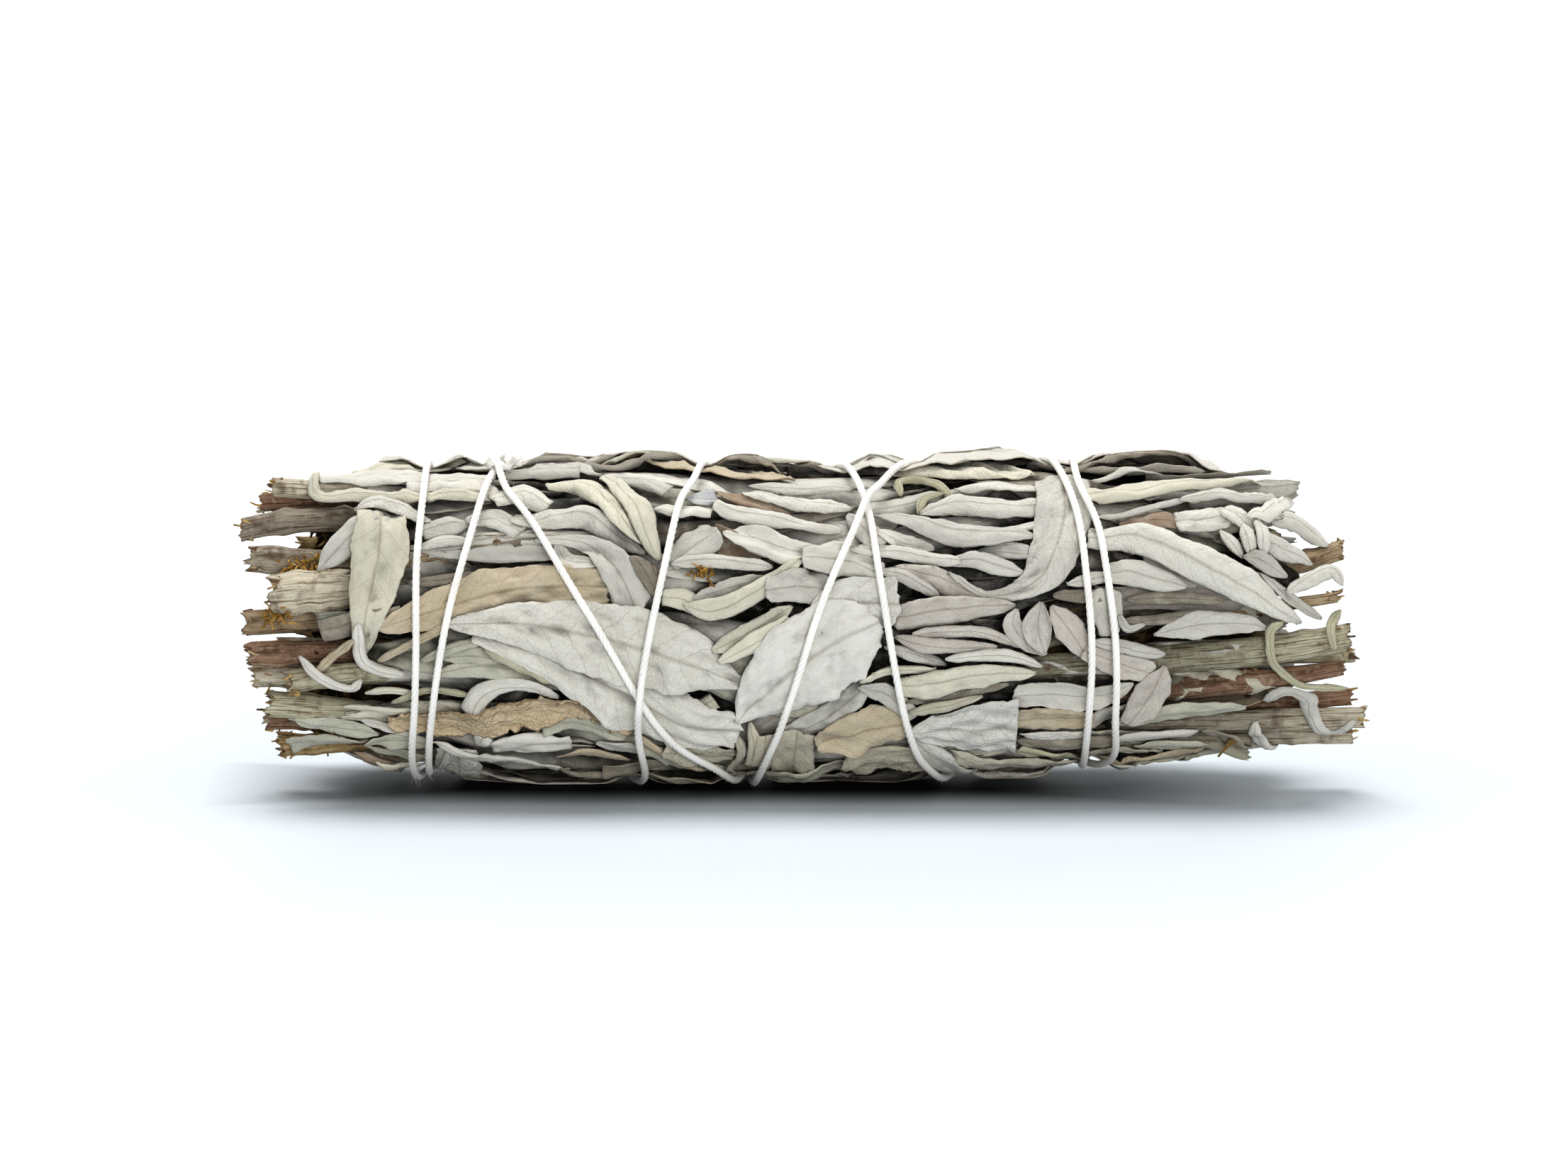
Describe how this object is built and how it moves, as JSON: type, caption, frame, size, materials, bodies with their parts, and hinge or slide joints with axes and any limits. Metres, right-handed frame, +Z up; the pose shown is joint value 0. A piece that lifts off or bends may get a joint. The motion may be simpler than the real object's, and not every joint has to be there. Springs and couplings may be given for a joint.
{
  "type": "sage smudge stick",
  "caption": "Thick bundle of dried pale sage leaves and cut woody stems, wound round and round with a single cotton string.",
  "frame": {"origin": "middle of the object's outline box, on the surface it lies on", "axes": "+X along the bundle to the picture's right, -Y towards the picture's camera, +Z up"},
  "size_m": [0.1302, 0.04, 0.0395],
  "materials": {
    "leaf_bundle": "dried velvety sage leaf, matt pale grey-green with a fine net of veins",
    "dry_leaf": "dry torn brown leaf, matt",
    "stem_pale": "dried cut stem, cream to tan, matt",
    "stem_brown": "dried cut stem, dark reddish brown bark, matt",
    "stem_green": "dried cut stem, pale yellow-green, slightly smooth",
    "string": "twisted natural cotton string, matt and slightly fuzzy"
  },
  "bodies": {
    "root": {"dry_leaf": "dry_leaf", "leaf_bundle": "leaf_bundle", "stem_front": "stem_brown", "stem_left_01": "stem_pale", "stem_left_02": "stem_brown", "stem_left_03": "stem_pale", "stem_left_04": "stem_brown", "stem_left_05": "stem_pale", "stem_left_06": "stem_brown", "stem_left_07": "stem_brown", "stem_left_08": "stem_pale", "stem_left_09": "stem_brown", "stem_left_10": "stem_green", "stem_left_11": "stem_green", "stem_left_12": "stem_pale", "stem_left_13": "stem_pale", "stem_left_14": "stem_pale", "stem_left_15": "stem_pale", "stem_left_16": "stem_brown", "stem_left_17": "stem_pale", "stem_left_18": "stem_pale", "stem_left_19": "stem_brown", "stem_left_20": "stem_pale", "stem_left_21": "stem_pale", "stem_left_22": "stem_brown", "stem_left_23": "stem_pale", "stem_left_24": "stem_pale", "stem_right_01": "stem_green", "stem_right_02": "stem_brown", "stem_right_03": "stem_green", "stem_right_04": "stem_pale", "stem_right_05": "stem_brown", "stem_right_06": "stem_pale", "stem_right_07": "stem_pale", "stem_right_08": "stem_pale", "stem_right_09": "stem_pale", "stem_right_10": "stem_brown", "stem_right_11": "stem_pale", "stem_right_12": "stem_pale", "stem_right_13": "stem_brown", "stem_right_14": "stem_pale", "stem_right_15": "stem_pale", "string": "string"}
  },
  "joints": []
}
